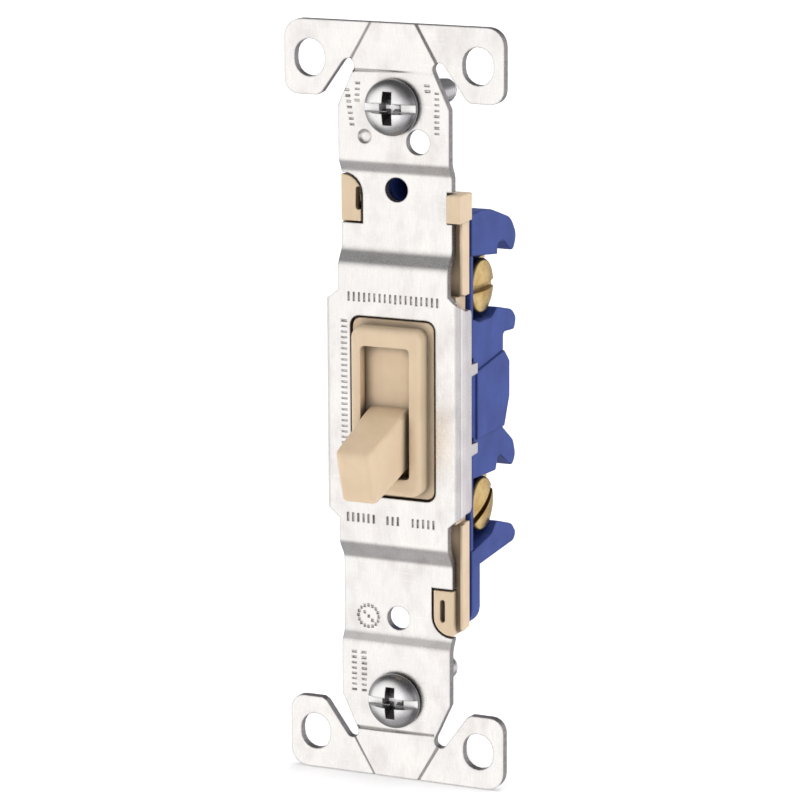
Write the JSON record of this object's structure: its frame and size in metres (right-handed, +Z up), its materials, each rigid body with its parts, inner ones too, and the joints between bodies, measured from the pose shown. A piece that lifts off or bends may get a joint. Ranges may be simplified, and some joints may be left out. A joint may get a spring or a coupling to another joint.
{
  "type": "toggle wall switch",
  "caption": "Toggle wall switch on a long steel mounting strap with plaster ears, ivory lever and collar, blue base, side terminals and captive screws.",
  "frame": {"origin": "centre of the switch, midway between the mounting screws, in the plane of the plaster ears' rear faces, which is the wall's surface", "axes": "+X to the right seen from the front, +Y into the wall, +Z up along the strap"},
  "size_m": [0.0326, 0.0341, 0.106],
  "materials": {
    "zinc_strap": "zinc-plated stamped steel, satin",
    "ivory_plastic": "moulded, satin",
    "ivory_lever": "moulded, smooth",
    "blue_plastic": "moulded, satin",
    "brass": "stamped, bright",
    "brass_screw": "plated, bright",
    "screw_steel": "zinc-plated, bright",
    "spring_steel": "drawn, bright",
    "contact_silver": "silver alloy, satin",
    "red_fibre": "vulcanised fibre, dull",
    "acetal": "moulded, satin"
  },
  "bodies": {
    "housing": {"mounting_strap": "zinc_strap", "front_frame": "ivory_plastic", "base_housing": "blue_plastic", "line_terminal": "brass", "load_terminal": "brass", "fixed_contact": "contact_silver", "line_wire_clamp": "spring_steel", "load_wire_clamp": "spring_steel"},
    "toggle": {"toggle_lever": "ivory_lever", "toggle_spring": "spring_steel"},
    "plunger": {"toggle_plunger": "acetal"},
    "rocker": {"contact_rocker": "brass", "moving_contact": "contact_silver"},
    "line_screw": {"line_terminal_screw": "brass_screw"},
    "load_screw": {"load_terminal_screw": "brass_screw"},
    "top_screw": {"mounting_screw_top": "screw_steel", "screw_retainer_top": "red_fibre"},
    "bottom_screw": {"mounting_screw_bottom": "screw_steel", "screw_retainer_bottom": "red_fibre"}
  },
  "joints": [
    {"name": "toggle_hinge", "type": "hinge", "parent": "housing", "child": "toggle", "pos_m": [0, 0.0088, 0], "axis": [-1, 0, 0], "range_deg": [0, 34.6]},
    {"name": "plunger_slide", "type": "slide", "parent": "toggle", "child": "plunger", "axis": [0, 0.9548, 0.2974], "range_m": [-0.0005, 0], "stiffness_N_per_m": 5, "springref_m": 0.002},
    {"name": "rocker_hinge", "type": "hinge", "parent": "housing", "child": "rocker", "pos_m": [0, 0.0122, 0], "axis": [1, 0, 0], "range_deg": [0, 14]},
    {"name": "line_screw_slide", "type": "slide", "parent": "housing", "child": "line_screw", "axis": [1, 0, 0], "range_m": [0, 0.003]},
    {"name": "load_screw_slide", "type": "slide", "parent": "housing", "child": "load_screw", "axis": [1, 0, 0], "range_m": [0, 0.003]},
    {"name": "top_screw_turn", "type": "hinge", "parent": "housing", "child": "top_screw", "pos_m": [0, 0, 0.04167], "axis": [0, -1, 0], "continuous": true},
    {"name": "bottom_screw_turn", "type": "hinge", "parent": "housing", "child": "bottom_screw", "pos_m": [0, 0, -0.04167], "axis": [0, -1, 0], "continuous": true}
  ],
  "couplings": [
    {"joint": "rocker_hinge", "follows": "toggle_hinge", "ratio": 0.404}
  ]
}
